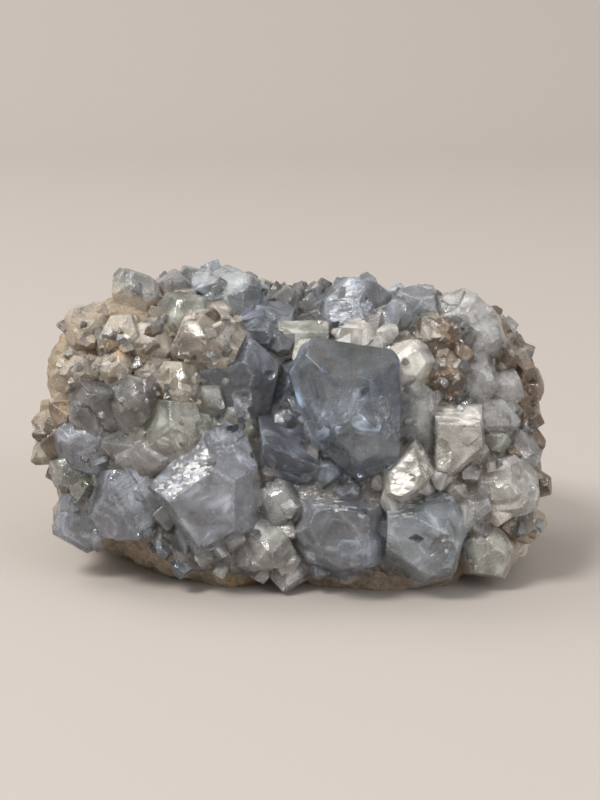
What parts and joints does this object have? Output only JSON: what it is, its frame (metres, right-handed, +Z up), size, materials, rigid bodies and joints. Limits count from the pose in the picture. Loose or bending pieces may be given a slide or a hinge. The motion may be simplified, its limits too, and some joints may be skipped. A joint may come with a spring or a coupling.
{
  "type": "celestite crystal cluster on limestone matrix",
  "caption": "Lump of pale limestone rind, flat underneath, with a crust of intergrown blocky blue-grey celestite crystals over its front and top.",
  "frame": {"origin": "in the flat resting spot under the rock, near its middle", "axes": "+X across the specimen to the viewer's right, the longest extent; -Y towards the viewer, the crystal side; +Z up"},
  "size_m": [0.1017, 0.0687, 0.0597],
  "materials": {
    "limestone": "rough",
    "celestite": "vitreous"
  },
  "bodies": {
    "root": {"limestone_matrix": "limestone", "celestite_crust": "celestite"}
  },
  "joints": []
}
